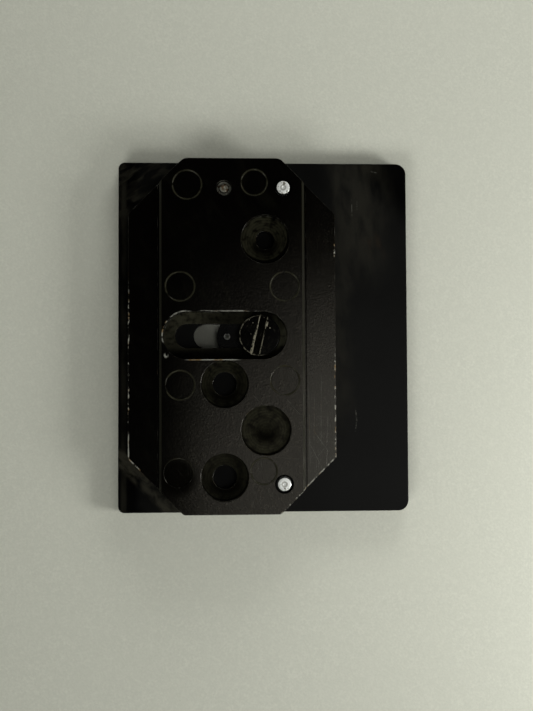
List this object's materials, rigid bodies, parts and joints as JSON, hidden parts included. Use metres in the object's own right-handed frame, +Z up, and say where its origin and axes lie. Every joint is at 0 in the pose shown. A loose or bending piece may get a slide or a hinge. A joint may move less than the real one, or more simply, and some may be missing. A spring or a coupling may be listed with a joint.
{
  "type": "negative carrier",
  "caption": "Sliding plate carrier: octagonal flanged plate with stepped slot, bolt seats and sprung locating pins, clamped on a rectangular base by a coin-slot screw.",
  "frame": {"origin": "centre of the base's underside", "axes": "+X along the clamp slots, +Y along the long side of both plates, +Z up, away from the base"},
  "size_m": [0.1204, 0.1454, 0.0152],
  "materials": {
    "black_base": "satin black finish, dusty and scratched",
    "facing_sheet": "matt ground cork-rubber sheet",
    "black_steel": "blackened steel",
    "black_screw": "glossy blackened steel, worn to grey on its edges",
    "bright_steel": "turned bright steel",
    "tarnished_steel": "turned steel with rust tints",
    "spring_steel": "drawn spring steel",
    "plain_steel": "plain steel",
    "black_casting": "black casting, brushed and worn to pale metal at its edges"
  },
  "bodies": {
    "base": {"base_plate": "black_base", "base_facing": "facing_sheet"},
    "nut": {"tee_nut": "black_steel", "nut_pin": "bright_steel"},
    "washer": {"clamp_washer": "plain_steel"},
    "slide": {"slide_plate": "black_casting", "pin_spring_upper": "spring_steel", "pin_spring_lower": "spring_steel", "pin_spring_short": "spring_steel", "pin_plug_upper": "black_steel", "pin_plug_lower": "black_steel", "pin_plug_short": "black_steel"},
    "spring_washer": {"lock_washer": "spring_steel"},
    "screw": {"clamp_screw": "black_screw"},
    "upper_pin": {"locating_pin_upper": "bright_steel"},
    "lower_pin": {"locating_pin_lower": "bright_steel"},
    "short_pin": {"locating_pin_short": "tarnished_steel"}
  },
  "joints": [
    {"name": "nut_travel", "type": "slide", "parent": "base", "child": "nut", "axis": [1, 0, 0], "range_m": [-0.0121, 0.0258]},
    {"name": "plate_swivel", "type": "hinge", "parent": "nut", "child": "washer", "pos_m": [-0.0019, 0, 0.0097], "axis": [0, 0, 1], "continuous": true},
    {"name": "plate_travel", "type": "slide", "parent": "washer", "child": "slide", "axis": [1, 0, 0], "range_m": [-0.0013, 0.0295]},
    {"name": "screw_lift", "type": "slide", "parent": "nut", "child": "spring_washer", "axis": [0, 0, 1], "range_m": [0, 0.00159]},
    {"name": "screw_turn", "type": "hinge", "parent": "spring_washer", "child": "screw", "pos_m": [-0.0019, 0, 0.0126], "axis": [0, 0, 1], "range_deg": [0, 360]},
    {"name": "upper_pin_press", "type": "slide", "parent": "slide", "child": "upper_pin", "axis": [0, 0, 1], "range_m": [-0.0012, 0], "stiffness_N_per_m": 700, "springref_m": 0.0012, "deforming": ["pin_spring_upper"]},
    {"name": "lower_pin_press", "type": "slide", "parent": "slide", "child": "lower_pin", "axis": [0, 0, 1], "range_m": [-0.0012, 0], "stiffness_N_per_m": 700, "springref_m": 0.0012, "deforming": ["pin_spring_lower"]},
    {"name": "short_pin_press", "type": "slide", "parent": "slide", "child": "short_pin", "axis": [0, 0, 1], "range_m": [-0.0012, 0], "stiffness_N_per_m": 700, "springref_m": 0.0012, "deforming": ["pin_spring_short"]}
  ],
  "couplings": [
    {"joint": "screw_turn", "follows": "screw_lift", "rad_per_m": 3957.8}
  ]
}
